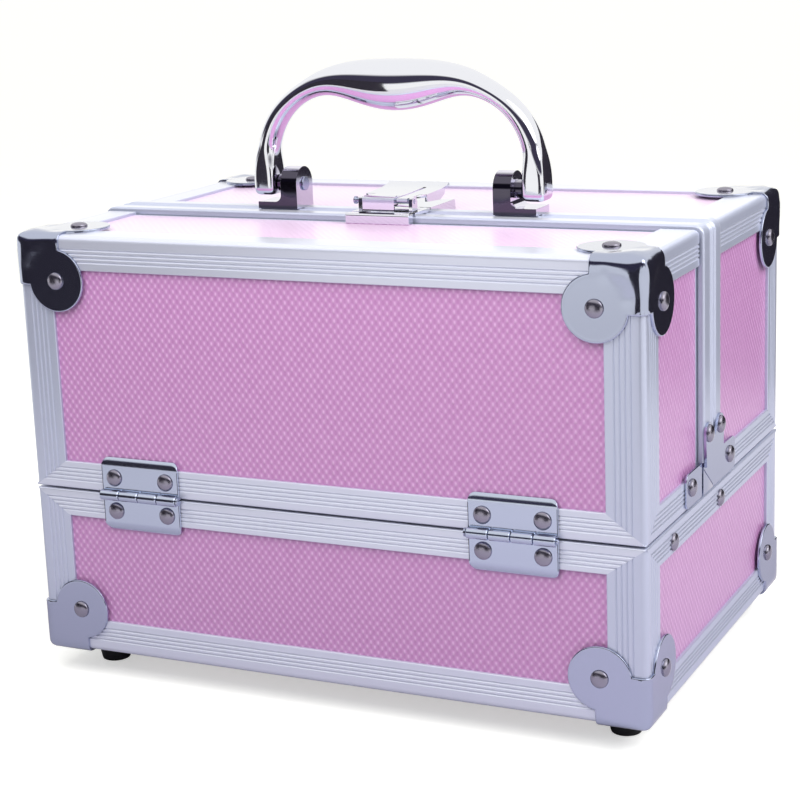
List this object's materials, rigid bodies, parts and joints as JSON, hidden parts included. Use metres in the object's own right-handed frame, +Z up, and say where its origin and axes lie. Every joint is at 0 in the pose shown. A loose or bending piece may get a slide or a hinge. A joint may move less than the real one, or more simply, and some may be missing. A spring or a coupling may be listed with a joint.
{
  "type": "makeup storage case",
  "caption": "Boxy makeup case with aluminium edging, round-lobed corner caps, front and rear folding lids, a lifting tray, a top latch and a swinging carry handle.",
  "frame": {"origin": "middle of the footprint, on the plane of the rubber feet", "axes": "+X to the right seen from the front hinges, +Y from the front lid to the rear lid, +Z up"},
  "size_m": [0.2474, 0.1714, 0.2266],
  "materials": {
    "aluminium_rails": "satin, fine grooves",
    "chrome_hardware": "polished",
    "chrome_handle": "polished",
    "pink_board": "embossed pink sheet over board",
    "lining_cloth": "black felt",
    "rubber_black": "matte",
    "tray_plastic": "black, fine grain",
    "steel_arms": "zinc plated",
    "mirror_glass": "silvered"
  },
  "bodies": {
    "base": {"base_corner_posts": "aluminium_rails", "base_bottom_rails_long": "aluminium_rails", "base_bottom_rails_short": "aluminium_rails", "base_top_rails_long": "aluminium_rails", "base_top_rails_short": "aluminium_rails", "base_long_boards": "pink_board", "base_short_boards": "pink_board", "base_floor_board": "pink_board", "base_lining": "lining_cloth", "base_corner_caps": "chrome_hardware", "base_rivets": "chrome_hardware", "hinge_base_leaves": "chrome_hardware", "hinge_pins": "chrome_hardware", "base_arm_rivets": "chrome_hardware", "rubber_feet": "rubber_black"},
    "front_lid": {"front_lid_top_rail": "aluminium_rails", "front_lid_side_top_rails": "aluminium_rails", "front_lid_bottom_rail": "aluminium_rails", "front_lid_side_bottom_rails": "aluminium_rails", "front_lid_corner_posts": "aluminium_rails", "front_lid_edge_trims": "aluminium_rails", "front_lid_wall_board": "pink_board", "front_lid_top_board": "pink_board", "front_lid_side_boards": "pink_board", "front_lid_lining": "lining_cloth", "front_lid_corner_caps": "chrome_hardware", "front_lid_rivets": "chrome_hardware", "front_hinge_lid_leaves": "chrome_hardware", "front_lid_wing_plates": "chrome_hardware", "latch_keeper": "chrome_hardware", "tray_link_pins": "chrome_hardware"},
    "rear_lid": {"rear_lid_top_rail": "aluminium_rails", "rear_lid_side_top_rails": "aluminium_rails", "rear_lid_bottom_rail": "aluminium_rails", "rear_lid_side_bottom_rails": "aluminium_rails", "rear_lid_corner_posts": "aluminium_rails", "rear_lid_centre_strip": "aluminium_rails", "rear_lid_wall_board": "pink_board", "rear_lid_top_board": "pink_board", "rear_lid_side_boards": "pink_board", "rear_lid_lining": "lining_cloth", "rear_lid_corner_caps": "chrome_hardware", "rear_lid_rivets": "chrome_hardware", "rear_hinge_lid_leaves": "chrome_hardware", "strip_foot_plates": "chrome_hardware", "handle_brackets": "chrome_hardware", "handle_pins": "chrome_hardware", "latch_base": "chrome_hardware", "latch_lever_pin": "chrome_hardware", "lid_mirror": "mirror_glass", "mirror_clips": "chrome_hardware"},
    "handle": {"carry_handle": "chrome_handle"},
    "lever": {"latch_lever": "chrome_hardware"},
    "front_arms": {"front_tray_arms": "steel_arms"},
    "rear_arms": {"rear_tray_arms": "steel_arms"},
    "tray": {"lift_tray": "tray_plastic", "tray_studs": "chrome_hardware"}
  },
  "joints": [
    {"name": "front_lid_hinge", "type": "hinge", "parent": "base", "child": "front_lid", "pos_m": [0, -0.0838, 0.0745], "axis": [1, 0, 0], "range_deg": [0, 95]},
    {"name": "rear_lid_hinge", "type": "hinge", "parent": "base", "child": "rear_lid", "pos_m": [0, 0.0838, 0.0745], "axis": [-1, 0, 0], "range_deg": [0, 100]},
    {"name": "handle_swing", "type": "hinge", "parent": "rear_lid", "child": "handle", "pos_m": [0, -0.00645, 0.1803], "axis": [1, 0, 0], "range_deg": [-88, 88]},
    {"name": "latch_lever_hinge", "type": "hinge", "parent": "rear_lid", "child": "lever", "pos_m": [0, -0.01885, 0.1764], "axis": [1, 0, 0], "range_deg": [0, 60]},
    {"name": "front_arm_pivot", "type": "hinge", "parent": "base", "child": "front_arms", "pos_m": [0, -0.05275, 0.0681], "axis": [1, 0, 0], "range_deg": [0, 95]},
    {"name": "rear_arm_pivot", "type": "hinge", "parent": "base", "child": "rear_arms", "pos_m": [0, 0.00225, 0.0681], "axis": [1, 0, 0], "range_deg": [0, 95]},
    {"name": "tray_pivot", "type": "hinge", "parent": "front_arms", "child": "tray", "pos_m": [0, -0.00556, 0.08463], "axis": [1, 0, 0], "range_deg": [-95, 0]}
  ],
  "couplings": [
    {"joint": "front_arm_pivot", "follows": "front_lid_hinge", "ratio": 1},
    {"joint": "rear_arm_pivot", "follows": "front_lid_hinge", "ratio": 1},
    {"joint": "tray_pivot", "follows": "front_lid_hinge", "ratio": -1}
  ]
}
